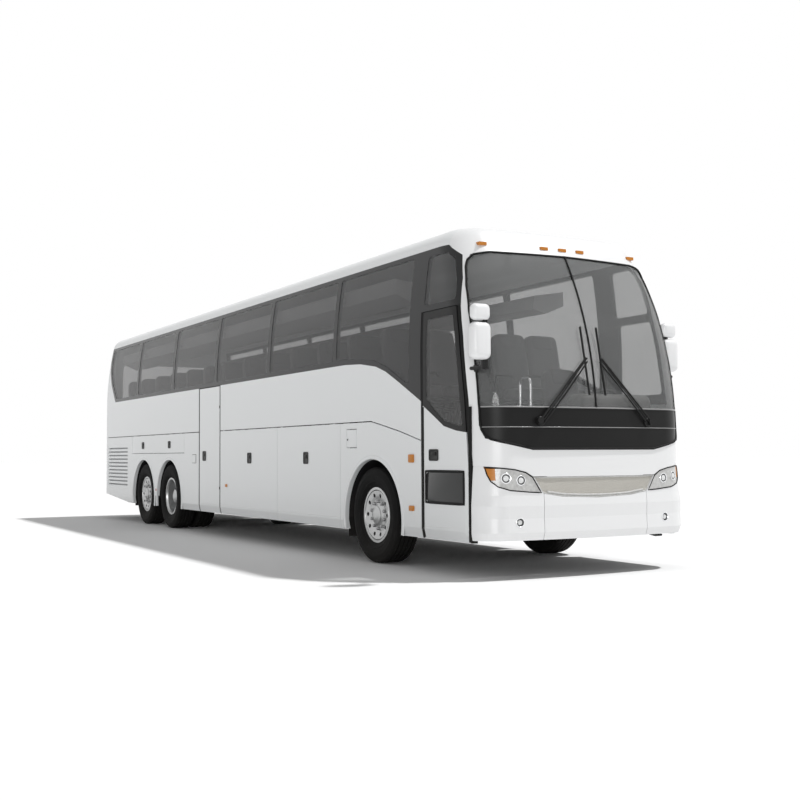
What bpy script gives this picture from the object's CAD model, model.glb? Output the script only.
# %% [markdown]
# A three-axle touring coach, dressed for its picture.
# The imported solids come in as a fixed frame: they say where every panel, pane and wheel is.
# This script gives them finishes and adds what a builder fits last: tread, nuts, latches,
# seals, lamps, seats. Units are metres. +X is forward, +Y left, +Z up.

# %% Load the frame
import math

import bpy
from mathutils import Matrix, Vector


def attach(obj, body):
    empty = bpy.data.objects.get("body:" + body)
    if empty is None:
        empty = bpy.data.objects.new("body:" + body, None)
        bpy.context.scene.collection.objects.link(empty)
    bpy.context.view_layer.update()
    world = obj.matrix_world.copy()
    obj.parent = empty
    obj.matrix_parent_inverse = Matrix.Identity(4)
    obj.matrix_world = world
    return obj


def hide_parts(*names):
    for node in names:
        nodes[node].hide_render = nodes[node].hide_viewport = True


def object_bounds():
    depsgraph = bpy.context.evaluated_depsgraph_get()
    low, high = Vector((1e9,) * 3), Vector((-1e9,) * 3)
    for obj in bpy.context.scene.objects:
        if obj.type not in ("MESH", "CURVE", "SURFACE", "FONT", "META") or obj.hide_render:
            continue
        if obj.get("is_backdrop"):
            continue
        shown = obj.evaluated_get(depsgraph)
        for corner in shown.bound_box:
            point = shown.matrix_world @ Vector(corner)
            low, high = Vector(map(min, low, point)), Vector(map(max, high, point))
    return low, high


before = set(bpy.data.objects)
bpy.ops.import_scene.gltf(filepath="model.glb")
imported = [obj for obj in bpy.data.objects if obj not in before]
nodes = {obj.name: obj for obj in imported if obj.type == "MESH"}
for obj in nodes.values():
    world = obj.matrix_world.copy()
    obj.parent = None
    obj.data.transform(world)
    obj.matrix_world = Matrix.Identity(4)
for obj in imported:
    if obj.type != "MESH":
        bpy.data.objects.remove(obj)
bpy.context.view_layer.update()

# %% [markdown]
# The camera stands low, ahead of the nose and off the door side, at about eye height.
# Its place and turn come from lining up the tyres, the seams and the lamps of the picture.
# It comes first, so that each later step can be looked at through it.

# %% Camera
image_side = 800
focal_px = 1126.82
sensor = 36.0
camera_place = Vector((15.594, -7.14, 1.189))
yaw, pitch, roll = (math.radians(a) for a in (29.317, 2.806, -0.334))

bpy.ops.object.camera_add()
camera = bpy.context.object
camera.name = "picture_camera"
camera.data.sensor_width = sensor
camera.data.lens = sensor * focal_px / image_side
heading = Vector((-math.cos(yaw), math.sin(yaw), 0))
forward = heading * math.cos(pitch) + Vector((0, 0, math.sin(pitch)))
right = heading.cross(Vector((0, 0, 1)))
up = right.cross(forward)
right_rolled = right * math.cos(roll) + up * math.sin(roll)
up_rolled = up * math.cos(roll) - right * math.sin(roll)
turn = Matrix((right_rolled, up_rolled, -forward)).transposed()
camera.matrix_world = Matrix.Translation(camera_place) @ turn.to_4x4()
camera.data.clip_end = 500
bpy.context.scene.camera = camera
print("lens", round(camera.data.lens, 2), "mm")

# %% [markdown]
# A material is a tree of nodes. Wiring one by hand means the same few moves over and over:
# feed a socket, do one sum, ask for noise. A helper for each keeps the recipes readable.

# %% Node helpers
def feed(tree, socket, value):
    """Link a socket to another one, or give it a value."""
    if isinstance(value, bpy.types.NodeSocket):
        tree.links.new(value, socket)
    else:
        socket.default_value = value


def put(tree, node, **values):
    """Feed a node's sockets by name; an underscore stands for a space."""
    for name, value in values.items():
        feed(tree, node.inputs[name.replace("_", " ")], value)


def math_node(tree, operation, *values, clamp=False):
    """One sum of values, each a number or a socket."""
    node = tree.nodes.new("ShaderNodeMath")
    node.operation = operation
    node.use_clamp = clamp
    for socket, value in zip(node.inputs, values):
        feed(tree, socket, value)
    return node.outputs[0]


def object_point(tree):
    """The point on the piece, in its own metres."""
    return tree.nodes.new("ShaderNodeTexCoord").outputs["Object"]


def noise(tree, scale, detail=3.0, point=None):
    """Cloudy noise from 0 to 1 over the piece."""
    node = tree.nodes.new("ShaderNodeTexNoise")
    put(tree, node, Vector=point or object_point(tree), Scale=scale, Detail=detail)
    return node.outputs["Fac"]


def mixed(tree, factor, a, b):
    """Colour a going over to colour b by a factor."""
    mix = tree.nodes.new("ShaderNodeMix")
    mix.data_type = "RGBA"
    put(tree, mix, Factor=factor, A=a, B=b)
    return mix.outputs["Result"]


print("node helpers ready")

# %% [markdown]
# Real paint, rubber and cloth are never one flat colour. Three effects are shared by most
# finishes, so each is a node group: a slow drift of tone, road film that gathers low down,
# and a fine relief. They only put out colours, masks and normals.

# %% Shared effects
film_height = 0.7


def new_group(name, inputs, output, kind):
    """A node group with its inputs, one output, and the sockets inside for both."""
    tree = bpy.data.node_groups.new(name, "ShaderNodeTree")
    for label, value in inputs.items():
        value_kind = "NodeSocketColor" if isinstance(value, tuple) else "NodeSocketFloat"
        socket = tree.interface.new_socket(label, in_out="INPUT", socket_type=value_kind)
        socket.default_value = value
    tree.interface.new_socket(output, in_out="OUTPUT", socket_type=kind)
    given = tree.nodes.new("NodeGroupInput").outputs
    return tree, given, tree.nodes.new("NodeGroupOutput").inputs[output]


base = {"Color": (0.8, 0.8, 0.8, 1), "Scale": 1.0, "Amount": 0.05}
drift, given, result = new_group("tone_drift", base, "Color", "NodeSocketColor")
shade = math_node(drift, "SUBTRACT", noise(drift, given["Scale"]), 0.5)
shade = math_node(drift, "ADD", math_node(drift, "MULTIPLY", shade, given["Amount"]), 1.0)
tint = drift.nodes.new("ShaderNodeVectorMath")
tint.operation = "SCALE"
drift.links.new(given["Color"], tint.inputs[0])
drift.links.new(shade, tint.inputs["Scale"])
drift.links.new(tint.outputs[0], result)

film, given, result = new_group("road_film", {"Top": 0.9, "Amount": 0.2}, "Mask", "NodeSocketFloat")
point = object_point(film)
split = film.nodes.new("ShaderNodeSeparateXYZ")
film.links.new(point, split.inputs[0])
depth = math_node(film, "SUBTRACT", given["Top"], split.outputs["Z"])
depth = math_node(film, "DIVIDE", depth, film_height, clamp=True)
spots = math_node(film, "MULTIPLY", noise(film, 5.0, 6.0, point), depth)
film.links.new(math_node(film, "MULTIPLY", spots, given["Amount"], clamp=True), result)

base = {"Scale": 400.0, "Strength": 0.05, "Depth": 0.001}
relief, given, result = new_group("fine_relief", base, "Normal", "NodeSocketVector")
bump = relief.nodes.new("ShaderNodeBump")
grain = noise(relief, given["Scale"])
put(relief, bump, Height=grain, Strength=given["Strength"], Distance=given["Depth"])
relief.links.new(bump.outputs["Normal"], result)
print("groups:", [g.name for g in bpy.data.node_groups])

# %% [markdown]
# One recipe then makes most finishes: a base colour that drifts, road film mixed over it,
# a roughness that follows the film, and the fine relief. What differs is the numbers.

# %% Finish recipe
film_colour = (0.30, 0.27, 0.23, 1)


def new_material(name):
    """A material, its node tree and its shader."""
    material = bpy.data.materials.new(name)
    material.use_nodes = True
    tree = material.node_tree
    return material, tree, tree.nodes["Principled BSDF"]


def place_group(tree, group, **values):
    """A group put into a tree, with its inputs set."""
    node = tree.nodes.new("ShaderNodeGroup")
    node.node_tree = group
    put(tree, node, **values)
    return node.outputs[0]


def finish(name, colour, roughness, drift_scale=1.2, drift_amount=0.06, film_top=0.0,
           film_amount=0.0, grain_scale=300.0, grain=0.05, grain_depth=0.0005, rough_drift=0.12,
           shine=0.5, **plain):
    """A material with drifting colour, road film and fine grain; plain sets shader sockets."""
    material, tree, shader = new_material(name)
    paint = place_group(tree, drift, Color=(*colour, 1), Scale=drift_scale, Amount=drift_amount)
    clouds = noise(tree, drift_scale * 7, 4.0)
    rough = math_node(tree, "MULTIPLY_ADD", clouds, rough_drift, roughness - rough_drift / 2)
    if film_amount:
        dirt = place_group(tree, film, Top=film_top, Amount=film_amount)
        paint = mixed(tree, dirt, paint, film_colour)
        rough = math_node(tree, "ADD", rough, math_node(tree, "MULTIPLY", dirt, 0.5), clamp=True)
    if grain:
        bumps = place_group(tree, relief, Scale=grain_scale, Strength=grain, Depth=grain_depth)
        put(tree, shader, Normal=bumps)
    put(tree, shader, Base_Color=paint, Roughness=rough, Specular_IOR_Level=shine, **plain)
    return material


print("one recipe, three effects")

# %% [markdown]
# Body and running gear. The body is gloss white coat paint; the nose has a slightly lighter
# shade, as the picture shows. Rubber, frame and castings are near black and hardly shine.

# %% Paint, rubber and metal
white_paint = finish("white_paint", (0.745, 0.76, 0.765), 0.34, 0.35, 0.03, 0.75, 0.14, grain=0.0,
                     rough_drift=0.02, Coat_Weight=0.2, Coat_Roughness=0.10)
white_cap = finish("white_nose_paint", (0.775, 0.78, 0.785), 0.34, 0.35, 0.02, 0.6, 0.08, grain=0.0,
                   rough_drift=0.02, Coat_Weight=0.2, Coat_Roughness=0.10)
band_black = finish("window_band_black", (0.010, 0.0105, 0.011), 0.16, 0.8, 0.25, grain=0.0,
                    shine=0.28)
apron_black = finish("apron_black", (0.010, 0.010, 0.010), 0.36, 0.8, 0.2, grain=0.0, shine=0.16)
satin_black = finish("satin_black", (0.010, 0.010, 0.010), 0.42, 4.0, 0.2, shine=0.2)
seal_rubber = finish("seal_rubber", (0.008, 0.008, 0.008), 0.62, 6.0, 0.2, 0.7, 0.1, 700.0, 0.2,
                     shine=0.15)
kick_tint = finish("kick_glass_tint", (0.036, 0.037, 0.037), 0.12, 1.5, 0.3, grain=0.0, shine=0.3)
plate_blank = finish("blank_plate", (0.62, 0.62, 0.61), 0.4, 3.0, 0.05, grain=0.0)
seam_grey = finish("seam_filler", (0.09, 0.09, 0.09), 0.6, 6.0, 0.2, grain=0.0, shine=0.2)
tyre_rubber = finish("tyre_rubber", (0.008, 0.008, 0.008), 0.72, 9.0, 0.35, 0.6, 0.06, 260.0, 0.25,
                     0.0015, shine=0.08)
rim_metal = finish("polished_rim", (0.46, 0.465, 0.465), 0.36, 6.0, 0.10, 0.8, 0.10, grain=0.0,
                   rough_drift=0.06, Metallic=0.9)
nut_metal = finish("wheel_nut_steel", (0.30, 0.30, 0.305), 0.34, 30.0, 0.15, grain=0.0,
                   Metallic=0.9)
chassis_paint = finish("chassis_paint", (0.012, 0.012, 0.013), 0.6, 3.0, 0.4, 1.0, 0.1, shine=0.15)
cast_metal = finish("cast_metal", (0.03, 0.03, 0.03), 0.6, 8.0, 0.4, 0.9, 0.2, 180.0, 0.3, 0.002,
                    shine=0.2)
print("finishes:", len(bpy.data.materials))

# %% [markdown]
# Lenses have moulded ribs and cloth has a weave. Both are too fine to model, so they are
# left to a stronger grain. Bright metal needs little more than a low roughness.

# %% Lamps, cloth and trim
amber_lens = finish("amber_lens", (0.52, 0.19, 0.025), 0.3, 30.0, 0.35, grain_scale=240.0,
                    grain=0.35, shine=0.3)
red_lens = finish("red_lens", (0.50, 0.015, 0.012), 0.18, 20.0, 0.2, grain_scale=240.0, grain=0.35,
                  Coat_Weight=0.5)
deck_vinyl = finish("deck_vinyl", (0.09, 0.09, 0.095), 0.7, 5.0, 0.3)
seat_cloth = finish("seat_cloth", (0.075, 0.072, 0.075), 0.86, 8.0, 0.25, grain_scale=900.0,
                    grain=0.5, grain_depth=0.002, Sheen_Weight=0.3)
trim_grey = finish("trim_grey", (0.13, 0.125, 0.12), 0.6, 4.0, 0.12, grain_scale=800.0, grain=0.3)
louvre_grey = finish("louvre_screen_grey", (0.42, 0.43, 0.44), 0.6, 4.0, 0.1)
rack_grey = finish("rack_grey", (0.35, 0.35, 0.35), 0.55, 4.0, 0.1, grain_scale=700.0, grain=0.2)
bright_tube = finish("bright_tube", (0.75, 0.75, 0.76), 0.22, 20.0, 0.08, Metallic=1.0)
chrome = finish("lamp_chrome", (0.86, 0.87, 0.88), 0.10, 20.0, 0.05, Metallic=1.0)
lamp_shell = finish("lamp_shell", (0.50, 0.50, 0.49), 0.30, 40.0, 0.6, grain_scale=160.0, grain=0.3,
                    grain_depth=0.001, Coat_Weight=0.6)
strip_metal = finish("strip_metal", (0.30, 0.30, 0.30), 0.3, 20.0, 0.08, Metallic=0.8)
lamp_well = finish("lamp_well", (0.07, 0.07, 0.07), 0.3, 60.0, 0.3, Metallic=0.6)
lamp_lens = finish("lamp_lens", (0.72, 0.73, 0.73), 0.12, 60.0, 0.2, grain_scale=260.0, grain=0.3,
                   Coat_Weight=0.6)
print("finishes:", len(bpy.data.materials))

# %% [markdown]
# Coach glass is tinted so that the cabin shows only faintly. True refraction would be slow
# and noisy through so many panes, so the tint is a dark colour with part of it let through.

# %% Glass
def glass(name, colour, alpha, streak, roughness=0.03):
    """Tinted glass: a colour seen through by its alpha, with faint streaks of film."""
    material, tree, shader = new_material(name)
    base = place_group(tree, drift, Color=(*colour, 1), Scale=0.9, Amount=0.4)
    veil = math_node(tree, "MULTIPLY_ADD", noise(tree, 1.4), streak, alpha - streak / 2)
    put(tree, shader, Base_Color=base, Alpha=veil, Roughness=roughness, Coat_Weight=0.4,
        Coat_Roughness=0.02)
    return material


side_glass = glass("side_glass", (0.026, 0.027, 0.028), 0.38, 0.06)
screen_glass = glass("screen_glass", (0.22, 0.225, 0.225), 0.28, 0.04)
door_glass = glass("door_glass", (0.13, 0.13, 0.13), 0.28, 0.05)
print("finishes:", len(bpy.data.materials))

# %% [markdown]
# The grille is a fine woven mesh. Thousands of wires would cost much and show little, so
# two crossed waves draw them: where both are high there is a hole, elsewhere a wire.

# %% Grille mesh
mesh_pitch = 0.012
hole_level = 0.45


def mesh_finish():
    """A woven mesh with its holes sunk in."""
    material, tree, shader = new_material("grille_mesh")
    split = tree.nodes.new("ShaderNodeSeparateXYZ")
    tree.links.new(object_point(tree), split.inputs[0])
    waves = []
    for axis in ("Y", "Z"):
        angle = math_node(tree, "MULTIPLY", split.outputs[axis], 2 * math.pi / mesh_pitch)
        waves.append(math_node(tree, "ABSOLUTE", math_node(tree, "SINE", angle)))
    weave = math_node(tree, "MULTIPLY", *waves)
    hole = math_node(tree, "GREATER_THAN", weave, hole_level)
    colour = mixed(tree, hole, (0.54, 0.52, 0.475, 1), (0.33, 0.32, 0.29, 1))
    bump = tree.nodes.new("ShaderNodeBump")
    bump.invert = True
    put(tree, bump, Distance=0.002, Height=weave)
    put(tree, shader, Base_Color=colour, Normal=bump.outputs[0], Roughness=0.45, Metallic=0.3)
    return material


grille_mesh = mesh_finish()
print("mesh pitch", mesh_pitch)

# %% [markdown]
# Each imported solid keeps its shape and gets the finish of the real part. A table by finish
# is shorter than one by part, and shows at a glance which parts are painted alike.

# %% Finishes of the solids
finish_of = {
    white_paint: """upper_panels roof rear_cap rear_wheel_panels front_wheel_panels side_louvres
        entrance_door lift_door luggage_door_right_rear luggage_door_right_front
        luggage_door_left_rear luggage_door_left_front wheel_flap_right wheel_flap_left
        engine_door roof_hatch_front roof_hatch_rear fuel_door rear_bumper""",
    white_cap: "front_cap front_bumper",
    band_black: "window_bands",
    satin_black: "entrance_door_frame steering_wheel wipers mirrors",
    apron_black: "windscreen_apron",
    side_glass: "cabin_glass",
    door_glass: "entrance_glass",
    screen_glass: "windshield",
    grille_mesh: "front_grille",
    red_lens: "tail_lamps",
    amber_lens: "amber_lamps",
    seal_rubber: "door_seals air_springs",
    chassis_paint: "chassis_frame wheel_housings",
    cast_metal: "axles knuckle_right knuckle_left engine_block",
    deck_vinyl: "floor_deck",
    seat_cloth: "seats",
    trim_grey: "dashboard",
    rack_grey: "parcel_racks",
    bright_tube: "handrails",
    lamp_shell: "headlamps",
    rim_metal: " ".join(name for name in nodes if name.startswith("rim_")),
    tyre_rubber: " ".join(name for name in nodes if name.startswith("tyre_")),
}
dressed = set()
for material, names in finish_of.items():
    for name in names.split():
        nodes[name].data.materials.clear()
        nodes[name].data.materials.append(material)
        dressed.add(name)
print("left plain:", sorted(set(nodes) - dressed))

# %% [markdown]
# New pieces are made as by hand: a primitive at its size and place, edit-mode operators,
# then modifiers that are applied. Everything is deselected first, because an operator acts
# on all that is selected.

# %% Selecting and applying
sides = ((-1, "right"), (1, "left"))


def only(piece):
    """Select one piece and nothing else."""
    bpy.ops.object.select_all(action="DESELECT")
    piece.select_set(True)
    bpy.context.view_layer.objects.active = piece


def drop(piece):
    """Delete a piece that was only a tool or a master."""
    only(piece)
    bpy.ops.object.delete()


def settle():
    """Write the selected piece's place, turn and size into its mesh."""
    bpy.ops.object.transform_apply(location=True, rotation=True, scale=True)


def edit_all():
    """Go into edit mode with everything selected."""
    bpy.ops.object.mode_set(mode="EDIT")
    bpy.ops.mesh.select_all(action="SELECT")


def edit_done():
    """Go back to object mode."""
    bpy.ops.object.mode_set(mode="OBJECT")


def modify(piece, kind, **settings):
    """Add a modifier and apply it."""
    only(piece)
    modifier = piece.modifiers.new(kind.lower(), kind)
    for name, value in settings.items():
        setattr(modifier, name, value)
    bpy.ops.object.modifier_apply(modifier=modifier.name)
    return piece


print("sides:", sides)

# %% [markdown]
# Most pieces start as a box, a cylinder or a drawn line. The line is one vertex that is
# extruded from point to point; spun about an axis it gives tyres, rings and lips.

# %% Boxes, rods and turned shapes
weld = 0.00005


def block(low, high, bevel=0.0, segments=3):
    """A box between two corners, with rounded edges."""
    bpy.ops.object.select_all(action="DESELECT")
    low, high = Vector(low), Vector(high)
    bpy.ops.mesh.primitive_cube_add(size=1, location=(low + high) / 2)
    piece = bpy.context.object
    piece.scale = [abs(s) for s in high - low]
    settle()
    if bevel:
        modify(piece, "BEVEL", width=bevel, segments=segments)
    return piece


def span(a, b):
    """The low and high corner of a box given by any two corners."""
    return tuple(map(min, a, b)), tuple(map(max, a, b))


def rod(radius, length, place, corners):
    """A cylinder that lies across the coach."""
    bpy.ops.object.select_all(action="DESELECT")
    bpy.ops.mesh.primitive_cylinder_add(vertices=corners, radius=radius, depth=length,
                                        location=place, rotation=(math.radians(90), 0, 0))
    return bpy.context.object


def profile(points, closed=False):
    """A line drawn by extruding one vertex from point to point."""
    bpy.ops.object.select_all(action="DESELECT")
    bpy.ops.mesh.primitive_plane_add(size=1, location=(0, 0, 0))
    edit_all()
    bpy.ops.mesh.merge(type="CENTER")
    bpy.ops.transform.translate(value=points[0])
    for start, end in zip(points, points[1:]):
        step = Vector(end) - Vector(start)
        bpy.ops.mesh.extrude_region_move(TRANSFORM_OT_translate={"value": step})
    if closed:
        bpy.ops.mesh.select_all(action="SELECT")
        bpy.ops.mesh.edge_face_add()
        bpy.ops.mesh.delete(type="ONLY_FACE")
    edit_done()
    return bpy.context.object


def turned(points, centre, axis, steps, angle=360.0, closed=True):
    """A profile spun about an axis; part turns get their ends filled."""
    piece = profile(points, closed)
    edit_all()
    bpy.ops.mesh.spin(steps=steps, angle=math.radians(angle), center=centre, axis=axis)
    bpy.ops.mesh.select_all(action="SELECT")
    bpy.ops.mesh.remove_doubles(threshold=weld)
    if angle < 360:
        bpy.ops.mesh.select_all(action="DESELECT")
        bpy.ops.mesh.select_mode(type="EDGE")
        bpy.ops.mesh.select_non_manifold(extend=False)
        bpy.ops.mesh.edge_face_add()
        bpy.ops.mesh.select_mode(type="VERT")
        bpy.ops.mesh.select_all(action="SELECT")
    bpy.ops.mesh.normals_make_consistent(inside=False)
    edit_done()
    return piece


print("weld distance", weld)

# %% [markdown]
# Seals and tubes are lines with a round section: the line becomes a curve with a bevel and
# then a mesh again. What repeats is copied with a mesh of its own, joined, and dressed.

# %% Beads, copies and dressing
def bead(points, radius, closed=False, sides=3):
    """A round bead of rubber or metal along a line."""
    piece = profile(points, closed)
    only(piece)
    bpy.ops.object.convert(target="CURVE")
    piece.data.bevel_depth = radius
    piece.data.bevel_resolution = sides
    piece.data.use_fill_caps = True
    bpy.ops.object.convert(target="MESH")
    return bpy.context.object


def copy_to(piece, offset=(0, 0, 0), flip_y=False):
    """A copy with its own mesh, moved, or mirrored to the other side."""
    only(piece)
    bpy.ops.object.duplicate()
    twin = bpy.context.object
    if flip_y:
        twin.scale.y = -1
    settle()
    if flip_y:
        edit_all()
        bpy.ops.mesh.normals_make_consistent(inside=False)
        edit_done()
    twin.location = offset
    bpy.ops.object.transform_apply(location=True, rotation=False, scale=False)
    return twin


def joined(pieces):
    """Several pieces made one."""
    only(pieces[0])
    for piece in pieces:
        piece.select_set(True)
    if len(pieces) > 1:
        bpy.ops.object.join()
    return bpy.context.object


def dress(pieces, name, material, body="body", smooth=35.0):
    """Join a piece, name it, give it its finish, and let it ride on its body."""
    piece = joined(pieces if isinstance(pieces, list) else [pieces])
    only(piece)
    settle()
    bpy.ops.object.shade_smooth_by_angle(angle=math.radians(smooth))
    piece.name = name
    piece.data.name = name
    piece.data.materials.clear()
    piece.data.materials.append(material)
    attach(piece, body)
    print(name, len(piece.data.polygons), "faces")
    return piece


print("modelling helpers ready")

# %% [markdown]
# Tyres. The real ones have a bulging sidewall, raised rings where the mould parts, and a
# tread cut by straight grooves. A half section drawn point by point and spun about the
# axle gives all of that as shape.

# %% Tyres
tyre_radius = 0.530
wheel_y = 1.113
twin_spacing = 0.345
axle_x = {"front": 4.528, "drive": -2.747, "tag": -4.132}
axle_z = tyre_radius
half_section = [
    # distance from the tyre's centre plane, radius
    (0.108, 0.300), (0.121, 0.322), (0.137, 0.348), (0.1405, 0.350), (0.1475, 0.366),
    (0.1455, 0.372), (0.1535, 0.400), (0.1550, 0.418), (0.1540, 0.440), (0.1555, 0.444),
    (0.1545, 0.452), (0.1510, 0.466), (0.1455, 0.488), (0.1405, 0.497), (0.1385, 0.512),
    (0.1300, 0.521), (0.1180, 0.5265), (0.0840, 0.5290), (0.0825, 0.5160), (0.0735, 0.5160),
    (0.0720, 0.5292), (0.0330, 0.5298), (0.0315, 0.5165), (0.0225, 0.5165), (0.0210, 0.5298),
]
tyre_steps = 88


def tyre_at(x, y):
    """One tyre with its centre plane at y."""
    outline = [(x, y + w, axle_z + r) for w, r in half_section]
    outline += [(x, y - w, axle_z + r) for w, r in reversed(half_section)]
    return turned(outline, (x, y, axle_z), (0, 1, 0), tyre_steps)


for axle, x in axle_x.items():
    planes = [wheel_y, wheel_y - twin_spacing] if axle == "drive" else [wheel_y]
    for side, hand in sides:
        tyre = joined([tyre_at(x, side * y) for y in planes])
        node = f"tyre_{axle}_{hand}"
        dress(tyre, f"{node}_treaded", tyre_rubber, f"wheel_{axle}_{hand}", 28.0)
        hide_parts(node)

# %% [markdown]
# Ten nuts hold each wheel, and a round cap covers the hub. A nut is a six-sided cylinder
# with soft edges. The cap is a short profile spun about the axle.

# %% Wheel nuts and hub caps
nut_circle = 0.150
nut_radius = 0.019
nut_length = 0.026
nut_sunk = 0.002
face_y = {"front": wheel_y + 0.093, "drive": 0.9647, "tag": wheel_y + 0.093}
hub_y = {"front": wheel_y + 0.125, "drive": wheel_y + 0.060, "tag": wheel_y + 0.125}
hub_radius = {"front": 0.095, "drive": 0.105, "tag": 0.095}


def round_axle(radius, start=0, count=10):
    """Offsets (x, z) spaced evenly round an axle."""
    angles = [math.radians(360 / count * i + start) for i in range(count)]
    return [(radius * math.cos(a), radius * math.sin(a)) for a in angles]


def nut_at(place):
    """One wheel nut."""
    nut = rod(nut_radius, nut_length, place, 6)
    settle()
    return modify(nut, "BEVEL", width=0.004, segments=2)


for axle, x in axle_x.items():
    for side, hand in sides:
        body = f"wheel_{axle}_{hand}"
        y = side * (face_y[axle] + nut_length / 2 - nut_sunk)
        nuts = [nut_at((x + dx, y, axle_z + dz)) for dx, dz in round_axle(nut_circle, 18)]
        dress(nuts, f"wheel_nuts_{axle}_{hand}", nut_metal, body)
        r, end = hub_radius[axle], hub_y[axle]
        crown = [(r + 0.002, -0.012), (r + 0.004, -0.002), (r - 0.006, 0.004), (r * 0.72, 0.007),
                 (r * 0.66, 0.012), (r * 0.4, 0.016), (0.0, 0.018)]
        outline = [(x, side * (end + dy), axle_z + dr) for dr, dy in crown]
        cap = turned(outline, (x, 0, axle_z), (0, 1, 0), 48, closed=False)
        dress(cap, f"hub_cap_{axle}_{hand}", rim_metal, body)

# %% [markdown]
# Many small parts sit on the coach's skin. A ray shot at the solids finds the skin, and gives
# the way it faces, so that a bead or a lamp lies on it exactly.

# %% Finding the skin
ahead_x = 7.2
beside_y = 1.7
step_back = 0.004


def touch(names, start, towards, spread=0.007, tries=3):
    """Where a ray first meets the named solids, and which way the skin faces there.

    Four more rays close by see to it that a gap between two panels isn't taken for the
    skin. Where all five miss, they are spread wider.
    """
    start, towards = Vector(start), Vector(towards).normalized()
    across = towards.orthogonal().normalized()
    best = None
    for nudge in (Vector(), across, -across, across.cross(towards), -across.cross(towards)):
        for name in names:
            hit, place, normal, _ = nodes[name].ray_cast(start + nudge * spread, towards)
            if hit:
                reach = (place - start).dot(towards)
                if best is None or reach < best[0] - step_back:
                    best = (reach, normal)
    if best is None and tries:
        return touch(names, start, towards, spread * 2, tries - 1)
    if best is None:
        raise ValueError(f"no skin from {start} towards {towards}")
    return start + towards * best[0], best[1]


def touch_nose(names, y, z):
    """The skin met from ahead."""
    return touch(names, (ahead_x, y, z), (-1, 0, 0))


def touch_side(names, x, z, side=-1):
    """The skin met from beside."""
    return touch(names, (x, side * beside_y, z), (0, -side, 0))


print("roof skin at", round(touch(["roof"], (0, 0, 5), (0, 0, -1))[0].z, 3))

# %% [markdown]
# A seal follows the skin only if the skin is asked for often enough, so each outline is
# first cut into short steps, and then every point is laid on the skin by a ray.

# %% Lines on the skin
def dense(points, step):
    """The same line with a point at least every step."""
    line = []
    for start, end in zip(points, points[1:]):
        start, end = Vector(start), Vector(end)
        parts = max(1, math.ceil((end - start).length / step))
        line += [start.lerp(end, i / parts) for i in range(parts)]
    return line + [Vector(points[-1])]


def on_nose(outline, names, lift, step=0.06):
    """Points (y, z) laid on the front, lifted off it by lift."""
    off = Vector((lift, 0, 0))
    return [touch_nose(names, y, z)[0] + off for y, z in dense(outline, step)]


def on_side(outline, names, lift, step=0.12, side=-1):
    """Points (x, z) laid on a flank, lifted off it by lift."""
    off = Vector((0, side * lift, 0))
    return [touch_side(names, x, z, side)[0] + off for x, z in dense(outline, step)]


def ringed(outline):
    """An outline that ends where it starts."""
    return list(outline) + [outline[0]]


def mirrored(half):
    """A half outline and its mirror image, as one ring."""
    return list(half) + [(-y, z) for y, z in reversed(half) if abs(y) > 1e-6]


print("line helpers ready")

# %% [markdown]
# The windscreen is held by a rubber bead and split by a seal down the middle. Two bright
# strips cross the black panel below it. Each is a line laid on the skin and given a round
# section.

# %% Windscreen beads and strips
nose_skins = ["windshield", "windscreen_apron", "front_cap", "front_bumper"]
screen_edge = [(0, 1.242), (0.752, 1.242), (0.92, 1.276), (1.09, 1.313), (1.165, 1.336),
               (1.205, 1.372), (1.226, 1.43), (1.234, 1.52), (1.233, 2.25), (1.215, 2.60),
               (1.189, 2.85), (1.150, 3.05), (1.120, 3.125), (1.060, 3.180), (0.900, 3.208),
               (0, 3.220)]
bead_line = on_nose(ringed(mirrored(screen_edge)), nose_skins, 0.003)[:-1]
dress(bead(bead_line, 0.011, closed=True), "windscreen_bead", seal_rubber)
centre_line = on_nose([(0, 1.65), (0, 3.215)], nose_skins, 0.002)
dress(bead(centre_line, 0.010), "windscreen_centre_seal", seal_rubber)
strips = [bead(on_nose([(-1.225, z), (1.225, z)], nose_skins, 0.002), r)
          for z, r in ((1.645, 0.008), (1.452, 0.0045))]
dress(strips, "windscreen_strips", strip_metal)

# %% [markdown]
# Plates with rounded corners turn up all over the coach: latches, pockets, lamps, mirror
# glass. Each starts as a box whose four corner edges are bevelled, and its face is inset
# and pushed in where there is a pocket.

# %% Rounded plates
flank_y = 1.2975
aligned = 0.98


def plate(low, high, axis, corner, rim=0.0, pocket=0.0, soft=0.0015):
    """A rounded plate; axis is the way its face looks, pocket how far the face is pushed in."""
    piece = block(low, high)
    axis = Vector(axis)
    mesh = piece.data
    bpy.ops.object.mode_set(mode="EDIT")
    bpy.ops.mesh.select_all(action="DESELECT")
    bpy.ops.mesh.select_mode(type="EDGE")
    edit_done()
    for edge in mesh.edges:
        a, b = (mesh.vertices[i].co for i in edge.vertices)
        edge.select = abs((b - a).normalized().dot(axis)) > aligned
    bpy.ops.object.mode_set(mode="EDIT")
    bpy.ops.mesh.bevel(offset=corner, segments=5, affect="EDGES")
    bpy.ops.mesh.select_mode(type="FACE")
    edit_done()
    for polygon in mesh.polygons:
        polygon.select = polygon.normal.dot(axis) > aligned
    bpy.ops.object.mode_set(mode="EDIT")
    if rim:
        bpy.ops.mesh.inset(thickness=rim, depth=0)
        bpy.ops.mesh.inset(thickness=min(rim, pocket) * 0.3, depth=-pocket)
    bpy.ops.mesh.select_mode(type="VERT")
    edit_done()
    if soft:
        modify(piece, "BEVEL", width=soft, segments=2, limit_method="ANGLE",
               angle_limit=math.radians(50))
    return piece


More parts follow.
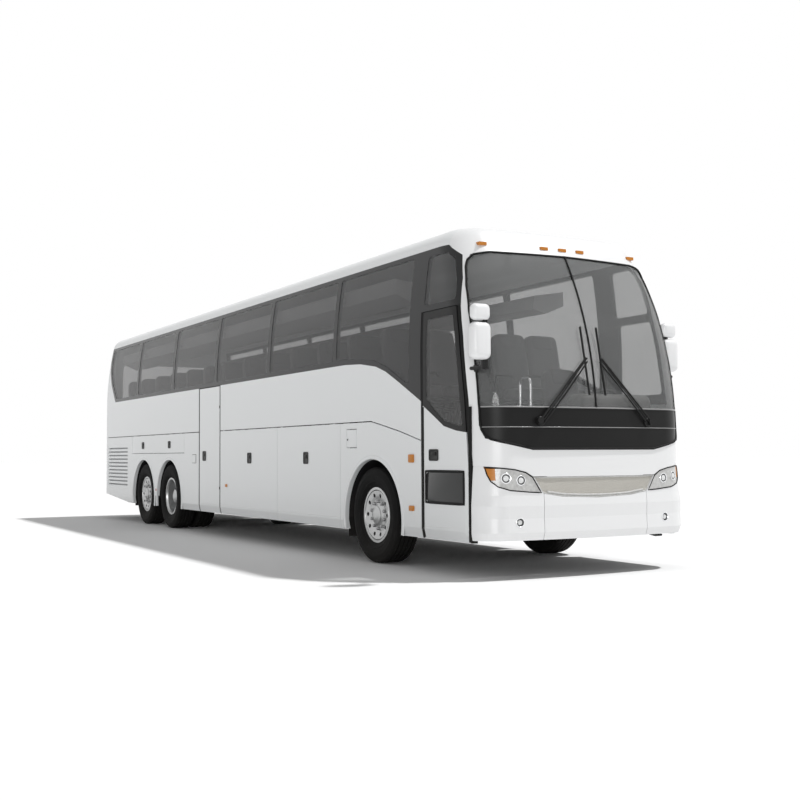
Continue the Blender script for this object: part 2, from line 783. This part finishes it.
def flank_plate(x, z, side, thick, corner, rim=0.0, pocket=0.0, inner=flank_y):
    """A plate on a flank: x and z are its ranges, thick how far it stands out."""
    faces = sorted((side * inner, side * (inner + thick)))
    low, high = (x[0], faces[0], z[0]), (x[1], faces[1], z[1])
    return plate(low, high, (0, side, 0), corner, rim, pocket)


print("flank at y", flank_y)

# %% [markdown]
# Luggage doors, lift door, flaps and entrance door have sunk black handles: a rounded frame,
# a dark pocket, and a paddle to pull. One function makes them all, at the size each needs.

# %% Latches
def latch(x, z, side, wide, high):
    """One paddle latch centred at x, z."""
    surround = flank_plate((x - wide / 2, x + wide / 2), (z - high / 2, z + high / 2), side,
                           0.007, 0.022, 0.014, 0.005)
    paddle = flank_plate((x - wide * 0.26, x + wide * 0.26), (z - high * 0.05, z + high * 0.27),
                         side, 0.0065, 0.008)
    return joined([surround, paddle])


latch_table = [
    # body, x, z, width, height, side
    *((f"luggage_door_{hand}_{end}", x, 1.162, 0.14, 0.15, side)
      for side, hand in sides for end, x in (("rear", 0.909), ("front", 2.792))),
    ("lift_door", -0.94, 1.195, 0.14, 0.15, -1),
    ("entrance_door", 5.875, 1.189, 0.18, 0.118, -1),
]
for body, x, z, wide, high, side in latch_table:
    dress(latch(x, z, side, wide, high), f"latch_{body}", satin_black, body)
for side, hand in sides:
    pair = joined([latch(x, 1.387, side, 0.12, 0.12) for x in (-4.168, -2.668)])
    dress(pair, f"latches_wheel_flap_{hand}", satin_black, f"wheel_flap_{hand}")

# %% [markdown]
# The fuel door has a round lock, a spun disc. Ahead of the rear wheels is a small service
# cover: a thin plate with a bead for the gap round it.

# %% Fuel door lock and service cover
def box_line(x, z):
    """The outline of a rectangle given by its ranges, back to its first corner."""
    return [(x[0], z[0]), (x[1], z[0]), (x[1], z[1]), (x[0], z[1]), (x[0], z[0])]


lock_x, lock_z = 3.951, 1.370
lock_section = [(0.011, 0), (0.011, 0.003), (0.006, 0.005), (0, 0.005)]
lock = turned([(lock_x, -1.2985 - d, lock_z + r) for r, d in lock_section], (lock_x, 0, lock_z),
              (0, 1, 0), 20, closed=False)
dress(lock, "fuel_door_lock", satin_black, "fuel_door")
cover = flank_plate((-1.49, -1.336), (1.093, 1.212), -1, 0.004, 0.012, 0.006, 0.0015)
cover_line = on_side(box_line((-1.497, -1.329), (1.086, 1.219)),
                     ["rear_wheel_panels", "upper_panels"], 0.0)[:-1]
dress(cover, "service_cover", white_paint)
dress(bead(cover_line, 0.003, closed=True), "service_cover_seam", seal_rubber)

# %% [markdown]
# The entrance door has a low pane that lets the driver see the kerb, held by a wide bead,
# and rubber along its closing edge. The post it hinges on carries a thick rubber too, which
# stays on the body when the door swings.

# %% Entrance door rubbers and low pane
kick = on_side(box_line((5.72, 6.43), (0.712, 1.027)), ["entrance_door", "entrance_glass"], 0.0,
               0.09)[:-1]
dress(bead(kick, 0.014, closed=True), "kick_glass_bead", seal_rubber, "entrance_door")
door_line = on_side([(5.672, 0.36), (5.672, 1.68)], ["entrance_door"], -0.002)
dress(bead(door_line, 0.010), "entrance_door_edge", seal_rubber, "entrance_door")
post_y = touch_side(["entrance_door"], 6.40, 0.9)[0].y + 0.012
post = [(6.526, post_y, z) for z in (0.356, 0.70, 1.05, 1.40, 1.65)]
dress(bead(post, 0.019, sides=4), "door_post_rubber", seal_rubber)
kick_pane = flank_plate((5.730, 6.420), (0.720, 1.019), -1, 0.0035, 0.030, inner=1.2920)
dress(kick_pane, "kick_glass_tint", kick_tint, "entrance_door")

# %% [markdown]
# Wheel arches end in a slim rolled lip. Its section is drawn once per arch and spun over
# the wheel, from sill to sill.

# %% Wheel arch lips
arch_z = 0.480
sill_z = 0.352
arches = [(4.548, 0.665, 0.050), (-2.687, 0.650, 0.050), (-4.132, 0.650, 0.050)]
for side, hand in sides:
    lips = []
    for x, r, wide in arches:
        start = -math.asin((arch_z - sill_z) / r)
        section = [(0.002, 1.272), (0.001, 1.296), (0.006, 1.304), (0.014, 1.3065),
                   (wide - 0.020, 1.303), (wide - 0.005, 1.2985), (wide, 1.2945), (wide, 1.291),
                   (0.010, 1.291), (0.008, 1.272)]
        outline = [(x + (r + d) * math.cos(start), side * y, arch_z + (r + d) * math.sin(start))
                   for d, y in section]
        sweep = 180 - 2 * math.degrees(start)
        lips.append(turned(outline, (x, 0, arch_z), (0, 1, 0), 44, sweep))
    dress(lips, f"arch_lips_{hand}", white_paint)

# %% [markdown]
# Most amber lamps sit on the body, but one on each side sits on the rear luggage door and
# has to swing with it. The solid is copied, and each copy keeps only the lamps of its body.

# %% Amber lamps by body
def patch(node_name, planes, lift=0.0):
    """Part of a copy of a solid; each plane (point, normal) drops what its normal points to."""
    only(nodes[node_name])
    bpy.ops.object.duplicate()
    piece = bpy.context.object
    edit_all()
    bpy.ops.mesh.remove_doubles(threshold=weld)
    for point, normal in planes:
        bpy.ops.mesh.select_all(action="SELECT")
        bpy.ops.mesh.bisect(plane_co=point, plane_no=normal, clear_outer=True, use_fill=True)
    bpy.ops.mesh.select_all(action="SELECT")
    bpy.ops.mesh.normals_make_consistent(inside=False)
    if lift:
        bpy.ops.transform.shrink_fatten(value=lift)
    edit_done()
    return piece


behind = ((1, 0, 0), (-1, 0, 0))
ahead = ((1, 0, 0), (1, 0, 0))
fixed = patch("amber_lamps", [behind])
dress(fixed, "amber_lamps_on_body", amber_lens)
for side, hand in sides:
    marker = patch("amber_lamps", [ahead, ((0, 0, 0), (0, -side, 0))])
    dress(marker, f"door_marker_lamp_{hand}", amber_lens, f"luggage_door_{hand}_rear")
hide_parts("amber_lamps")

# %% [markdown]
# The two side lamps behind the front wheel stand out from the panel, so each gets a raised
# lens. Low on the doors the sheet is creased, and a bead half sunk in the skin shows that.

# %% Side lamp lenses and sill crease
crease_z = 0.474
lamp_ranges = (((5.375, 5.475), (1.112, 1.197)), ((5.383, 5.477), (0.612, 0.666)))
lenses = [flank_plate(x, z, side, 0.0160, 0.012, inner=1.2950)
          for side in (-1, 1) for x, z in lamp_ranges]
dress(lenses, "side_lamp_lenses", amber_lens)
crease_table = [
    # body, from x, to x, side
    *((f"luggage_door_{hand}_{end}", a, b, side) for side, hand in sides
      for end, a, b in (("rear", -0.235, 1.87), ("front", 1.90, 3.735))),
    ("lift_door", -1.145, -0.295, -1),
    ("entrance_door", 5.69, 6.485, -1),
]
for body, start, end, side in crease_table:
    line = on_side([(start, crease_z), (end, crease_z)], [body], -0.0015, 0.4, side)
    dress(bead(line, 0.005), f"sill_crease_{body}", white_cap, body)

# %% [markdown]
# A filled seam runs along the belt, where the upper panels end. It is a thin grey bead, so
# that it still reads as a line from a distance.

# %% Belt line bead
belt_z = 1.5665
belts = [bead(on_side([(-6.50, belt_z), (3.74, belt_z)], ["upper_panels"], 0.0005, 0.5, side),
              0.0042) for side in (-1, 1)]
dress(belts, "belt_line_beads", seam_grey)

# %% [markdown]
# Behind the front and rearmost wheels hang rubber mud flaps, and a sheet behind the louvres
# keeps the eye out of the engine bay. A small red lamp sits between the rear wheels.

# %% Mud flaps, louvre screen and marker lamp
flap_places = ((3.862, 0.255, 0.80), (-4.812, 0.30, 0.80))
flaps = [block(*span((x, side * 0.94, low), (x + 0.012, side * 1.245, high)), 0.004)
         for side in (-1, 1) for x, low, high in flap_places]
dress(flaps, "mud_flaps", seal_rubber)
screens = [block(*span((-6.52, side * 1.250, 0.61), (-5.13, side * 1.256, 1.41)))
           for side in (-1, 1)]
dress(screens, "louvre_screen", louvre_grey)
markers = [flank_plate((-3.395, -3.345), (0.60, 0.64), side, 0.010, 0.008) for side in (-1, 1)]
dress(markers, "red_marker_lamps", red_lens)

# %% [markdown]
# The mirrors hang on black arms: a tall head for the flat glass and a low one above it for
# the wide-angle glass. The shells are boxes with wide bevels, and the glass sits at the back.

# %% Mirrors
foot_z = 2.015
head_deep = 0.135
glass_rim = 0.03
head_table = [
    # low z, high z, how much slimmer than the tall head, edge radius
    (2.080, 2.435, 0.0, 0.062),
    (2.450, 2.610, 0.018, 0.052),
]
mirror_table = ((-1, 6.710, 1.22, 1.44, 6.558), (1, 6.280, 1.31, 1.52, 6.48))
mirror_skins = ["front_cap", "window_bands", "entrance_door_frame"]


def mirror_arm(side, x, inner, foot):
    """The neck between the heads, the knuckle, the arm and its pad on the skin."""
    near = side * (inner + 0.03)
    far = side * (inner + 0.08)
    neck = block(*span((x + 0.04, near, 2.425), (x + 0.09, far, 2.46)), 0.006)
    knuckle = block(*span((x + 0.03, side * (inner + 0.02), 1.990), (x + 0.09, far, 2.090)), 0.016)
    elbow = foot + Vector((0, side * 0.05, 0))
    arm = bead([(x + 0.06, side * (inner + 0.05), foot_z), elbow, foot], 0.017, sides=5)
    foot_pad = block((foot.x - 0.05, foot.y - 0.010, foot.z - 0.035),
                     (foot.x + 0.05, foot.y + 0.010, foot.z + 0.035), 0.008)
    return [neck, knuckle, arm, foot_pad]


heads, glasses, arms = [], [], []
for side, x, inner, outer, foot_x in mirror_table:
    for low, high, slim, edge in head_table:
        a, b = sorted((side * inner, side * (outer - slim)))
        heads.append(block((x + slim / 2, a, low), (x + head_deep - slim, b, high), edge, 6))
        glasses.append(plate((x + slim / 2 + 0.0005, a + glass_rim, low + glass_rim),
                             (x + slim / 2 + 0.004, b - glass_rim, high - glass_rim),
                             (-1, 0, 0), 0.02, soft=0.0))
    arms += mirror_arm(side, x, inner, touch_side(mirror_skins, foot_x, foot_z, side)[0])
heads = dress(heads, "mirror_heads", white_cap)
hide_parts("mirrors")
dress(glasses, "mirror_glass", chrome)
dress(arms, "mirror_arms", satin_black)

# %% [markdown]
# Headlamps: the solid is the bright bowl behind the cover. On it sit two round lamps, each
# a spun ring round a domed lens. The fog lamps in the bumper are deeper: ring, dark well
# and a small lens at its bottom.

# %% Round lamps
lamp_radius = 0.050
lamp_places = ((1.046, 0.963), (0.891, 0.943))
fog_y, fog_z = 0.905, 0.545
ring_shape = [(1.0, -0.002), (1.0, 0.004), (0.94, 0.0065), (0.82, 0.0055), (0.78, 0.001),
              (0.78, -0.002)]
well_shape = [(0.80, 0.0012), (0.5, 0.0018), (0, 0.0018)]
dome_shape = [(0.56, 0.0), (0.55, 0.003), (0.45, 0.0060), (0.25, 0.0080), (0, 0.0086)]
fog_ring = [(0.0445, -0.014), (0.0460, 0.003), (0.0420, 0.005), (0.0375, 0.001), (0.0360, -0.010)]
fog_well = [(0.040, -0.012), (0.02, -0.016), (0, -0.016)]
fog_dome = [(0.024, -0.014), (0.022, -0.006), (0.012, -0.002), (0, -0.001)]


def disc_on(place, normal, outline, steps=40):
    """A profile (radius, height) spun into a disc and set on the skin, facing out of it."""
    piece = turned([(r, 0, h) for r, h in outline], (0, 0, 0), (0, 0, 1), steps, closed=False)
    piece.rotation_mode = "QUATERNION"
    piece.rotation_quaternion = normal.to_track_quat("Z", "Y")
    piece.location = place
    only(piece)
    settle()
    return piece


rings, wells, domes = [], [], []
for y, z in lamp_places:
    for side in (-1, 1):
        place, normal = touch_nose(["headlamps"], side * y, z)
        for pieces, shape in ((rings, ring_shape), (wells, well_shape), (domes, dome_shape)):
            scaled = [(lamp_radius * r, h) for r, h in shape]
            pieces.append(disc_on(place, normal, scaled))
for side in (-1, 1):
    outer, inner = (touch_nose(["front_bumper"], side * y, fog_z)[0].x for y in (0.985, 0.84))
    place = Vector(((outer + inner) / 2 + 0.001, side * fog_y, fog_z))
    normal = Vector((1, side * 0.12, 0)).normalized()
    for pieces, shape in ((rings, fog_ring), (wells, fog_well), (domes, fog_dome)):
        pieces.append(disc_on(place, normal, shape))
dress(rings, "lamp_rings", chrome)
dress(wells, "lamp_wells", lamp_well)
dress(domes, "lamp_lenses", lamp_lens)

# %% [markdown]
# A thin black seal runs round each headlamp, and its outer corner is the amber indicator:
# the same solid again, cut down to that corner and swollen by a millimetre.

# %% Lamp seals and indicator corners
lamp_edge = [(1.206, 1.062), (1.092, 1.061), (0.954, 1.045), (0.838, 1.017), (0.763, 0.972),
             (0.668, 0.823), (0.794, 0.830), (1.005, 0.849), (1.116, 0.883), (1.172, 0.933),
             (1.195, 0.997)]
seals = []
for side in (-1, 1):
    outline = ringed([(side * y, z) for y, z in lamp_edge])
    line = on_nose(outline, ["headlamps", "front_bumper"], 0.001, 0.04)[:-1]
    seals.append(bead(line, 0.006, closed=True))
dress(seals, "headlamp_seals", seal_rubber)
below = ((0, 0, 0.945), (0, 0, -1))
corners = [patch("headlamps", [((0, side * 1.135, 0.95), (0, -side, 0)), below], 0.0012)
           for side in (-1, 1)]
dress(corners, "indicator_corners", amber_lens)

# %% [markdown]
# The grille is a recessed mesh in a bright frame, with a heavier lip along its lower edge.

# %% Grille frame
grille_edge = [(0, 0.967), (0.738, 0.967), (0.654, 0.832), (0.634, 0.818), (0.420, 0.788),
               (0.21, 0.777), (0, 0.773)]
lip_edge = [(-0.60, 0.832), (-0.40, 0.806), (-0.2, 0.796), (0, 0.793), (0.2, 0.796),
            (0.40, 0.806), (0.60, 0.832)]
frame_line = on_nose(ringed(mirrored(grille_edge)), ["front_grille"], 0.0, 0.08)[:-1]
lip_line = on_nose(lip_edge, ["front_grille"], 0.0, 0.05)
grille_parts = [bead(frame_line, 0.007, closed=True), bead(lip_line, 0.010, sides=5)]
dress(grille_parts, "grille_frame", lamp_shell)

# %% [markdown]
# Seats. Each place has a cushion, a back and a head rest. A box is divided, then a smoothing
# modifier lets its corners pull in so the pad is crowned; one subdivision rounds it. Seams
# are left out: they can't be seen through the glass. A real pad would be cut and sewn.

# %% One padded seat
cushion_size = (0.43, 0.455, 0.150)
back_size = (0.125, 0.450, 0.74)
head_size = (0.085, 0.30, 0.17)
lean = math.radians(10.8)


def pad(size, place, tilt=0.0, cuts=4, rounds=3):
    """A crowned pad of a size at its place, leaning back by a tilt."""
    bpy.ops.object.select_all(action="DESELECT")
    bpy.ops.mesh.primitive_cube_add(size=1)
    piece = bpy.context.object
    edit_all()
    bpy.ops.mesh.subdivide(number_cuts=cuts)
    edit_done()
    modify(piece, "SMOOTH", factor=0.5, iterations=rounds)
    piece.scale = [s / d for s, d in zip(size, piece.dimensions)]
    settle()
    modify(piece, "SUBSURF", levels=1, render_levels=1)
    piece.rotation_euler = (0, -tilt, 0)
    piece.location = place
    return piece


def seat_pads():
    """The pads of one place: the row at x 0, its middle at y 0 and its floor at z 0."""
    cushion = pad(cushion_size, (0.130, 0, 0.395))
    back = pad(back_size, (-0.222, 0, 0.765), lean, 5, 3)
    head_rest = pad(head_size, (-0.245, 0, 1.035), lean, 3, 2)
    return joined([cushion, back, head_rest])


def seat_frame():
    """Seat pan, legs and arm rests of a pair of places."""
    parts = [block((-0.20, -0.46, 0.300), (0.32, 0.46, 0.335), 0.010)]
    for y in (-0.33, 0.33):
        parts.append(block((-0.02, y - 0.02, 0.0), (0.06, y + 0.02, 0.31), 0.006))
        parts.append(block((-0.14, y - 0.03, 0.0), (0.20, y + 0.03, 0.02), 0.006))
    arm_rest = ((-0.20, 0.33), (-0.19, 0.60), (-0.15, 0.635), (0.16, 0.60), (0.18, 0.57))
    for y in (-0.475, 0.0, 0.475):
        parts.append(bead([(x, y, z) for x, z in arm_rest], 0.016))
    return joined(parts)


master_pads = seat_pads()
master_frame = seat_frame()
print("one place:", len(master_pads.data.polygons), "faces")

# %% [markdown]
# Thirteen rows stand on the deck, two places on each side of the aisle, and the driver sits
# lower, on a column. Copies of the masters fill the rows, and the masters are deleted.

# %% Rows of seats
deck_z = 1.48
first_row_x, row_pitch, row_count = 4.880, 0.840, 13
pair_y = 0.735
place_y = 0.235
driver_place = (5.678, 0.64, 1.010)
row_x = [first_row_x - row_pitch * i for i in range(row_count)]
for side, hand in sides:
    pads = [copy_to(master_pads, (x, side * pair_y + dy, deck_z))
            for x in row_x for dy in (-place_y, place_y)]
    frames = [copy_to(master_frame, (x, side * pair_y, deck_z)) for x in row_x]
    if side > 0:
        pads.append(copy_to(master_pads, driver_place))
        frames.append(block((5.62, 0.50, 0.955), (5.92, 0.78, 1.33), 0.03))
    pads = dress(pads, f"seat_pads_{hand}", seat_cloth, smooth=60.0)
    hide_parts("seats")
    dress(frames, f"seat_frames_{hand}", satin_black)
drop(master_pads)
drop(master_frame)

# %% [markdown]
# Small pieces: a hook under the bumper, the handle and the blank plate of the engine door,
# and the padded hood over the instruments, which shows above the lower edge of the glass.

# %% Tow hook, rear trim and instrument hood
hook_line = [(6.50, 0.84, 0.400), (6.66, 0.84, 0.362), (6.72, 0.845, 0.354), (6.72, 0.925, 0.354),
             (6.66, 0.93, 0.362), (6.50, 0.93, 0.400)]
dress(bead(hook_line, 0.012, sides=4), "tow_hook", satin_black)
handle = plate((-6.868, -0.11, 0.86), (-6.855, 0.11, 0.93), (-1, 0, 0), 0.02, 0.012, 0.006)
dress(handle, "engine_door_handle", satin_black, "engine_door")
blank = plate((-6.866, -0.16, 1.02), (-6.856, 0.16, 1.18), (-1, 0, 0), 0.012, 0.006, 0.002)
dress(blank, "blank_plate", plate_blank, "engine_door")
hood = block((6.27, 0.04, 1.58), (6.56, 1.00, 1.81), 0.085, 6)
dress(hood, "instrument_hood", trim_grey)

# %% [markdown]
# Each wiper arm is a pair of rods. The solid is the main rod and the blade; the second rod
# is a thin bar beside it that keeps the blade upright as the arm swings.

# %% Wiper links
hub_section = [(0.046, -0.004), (0.046, 0.014), (0.036, 0.022), (0.0, 0.024)]
links = []
for side in (-1, 1):
    outline = [(side * 0.640, 1.500), (side * 0.36, 1.80), (side * 0.075, 2.105)]
    line = on_nose(outline, ["windshield", "windscreen_apron"], 0.030, 0.15)
    links.append(bead(line, 0.008))
    hub, normal = touch_nose(["windscreen_apron"], side * 0.668, 1.508)
    links.append(disc_on(hub, normal, hub_section, 24))
dress(links, "wiper_links", satin_black)

# %% [markdown]
# Front and tag wheels have a dished disc, flush with the rim at its edge, with ten hand
# holes. The dish is a spun section; a ring of cylinders cuts the holes. One is made, and
# the others are copies moved to their axles.

# %% Wheel discs
dish_section = [
    # radius, distance from the tyre's centre plane
    (0.272, 0.108), (0.268, 0.114), (0.258, 0.1130), (0.225, 0.1090), (0.195, 0.1035),
    (0.178, 0.0960), (0.168, 0.0930), (0.128, 0.0930), (0.112, 0.0980), (0.098, 0.1140),
    (0.092, 0.1180), (0.092, 0.090), (0.165, 0.084), (0.225, 0.098), (0.262, 0.102),
]
hole_circle = 0.222
hole_radius = 0.023
holes = round_axle(hole_circle)


def wheel_disc():
    """The dish of a right-hand wheel with its axle through the origin, facing -Y."""
    dish = turned([(0, -d, r) for r, d in dish_section], (0, 0, 0), (0, 1, 0), 80)
    cutter = joined([rod(hole_radius, 0.08, (dx, -0.105, dz), 20) for dx, dz in holes])
    only(cutter)
    settle()
    modify(dish, "BOOLEAN", object=cutter, operation="DIFFERENCE", solver="EXACT")
    drop(cutter)
    return dish


master_disc = wheel_disc()
for axle in ("front", "tag"):
    for side, hand in sides:
        place = Vector((axle_x[axle], side * wheel_y, axle_z))
        body = f"wheel_{axle}_{hand}"
        dish = copy_to(master_disc, flip_y=side > 0)
        dish.location = place
        dress(dish, f"wheel_disc_{axle}_{hand}", rim_metal, body)
        wells = [disc_on(place + Vector((dx, side * 0.0765, dz)), Vector((0, side, 0)),
                         [(0.029, 0), (0.027, 0.003), (0, 0.003)], 20) for dx, dz in holes]
        dress(wells, f"hand_hole_wells_{axle}_{hand}", satin_black, body)
drop(master_disc)

# %% [markdown]
# Stage: a plain pale floor, white where the camera sees past it, one soft sun from the
# left that throws the shadow to the door side, and a low fill that lifts the nose.

# %% Stage and light
floor_shade = 0.93
sky_strength = 0.375

bpy.ops.mesh.primitive_plane_add(size=400)
floor = bpy.context.object
floor.name = "studio_floor"
floor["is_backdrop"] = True
floor_paint, tree, shader = new_material("studio_floor")
put(tree, shader, Base_Color=(floor_shade, floor_shade, floor_shade, 1), Roughness=0.9,
    Specular_IOR_Level=0.0)
floor.data.materials.append(floor_paint)

world = bpy.data.worlds.new("studio_sky")
bpy.context.scene.world = world
world.use_nodes = True
tree = world.node_tree
rays = tree.nodes.new("ShaderNodeLightPath").outputs
seen = math_node(tree, "MAXIMUM", rays["Is Camera Ray"], rays["Is Transmission Ray"])
seen = math_node(tree, "MAXIMUM", seen, rays["Is Glossy Ray"])
strength = math_node(tree, "MULTIPLY_ADD", seen, 1.0 - sky_strength, sky_strength)
put(tree, tree.nodes["Background"], Color=(1, 1, 1, 1), Strength=strength)


def sun(name, towards, strength, spread):
    """A distant lamp shining along a direction."""
    bpy.ops.object.light_add(type="SUN", location=(0, 0, 8))
    lamp = bpy.context.object
    lamp.name = name
    lamp.data.energy = strength
    lamp.data.angle = math.radians(spread)
    lamp.rotation_mode = "QUATERNION"
    lamp.rotation_quaternion = Vector(towards).to_track_quat("-Z", "Y")
    print(name, strength)


sun("sun_from_left", (-0.20, -0.50, -1.0), 2.55, 3)
sun("fill_on_nose", (-0.84, 0.54, -0.03), 1.1, 24)
bpy.context.scene.view_settings.view_transform = "Standard"

# %% [markdown]
# Last, the box round everything is written down beside that of the solids. The two should
# be nearly the same, which shows that the dressing hasn't changed the size of the coach.

# %% Sizes, and the end
low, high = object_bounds()
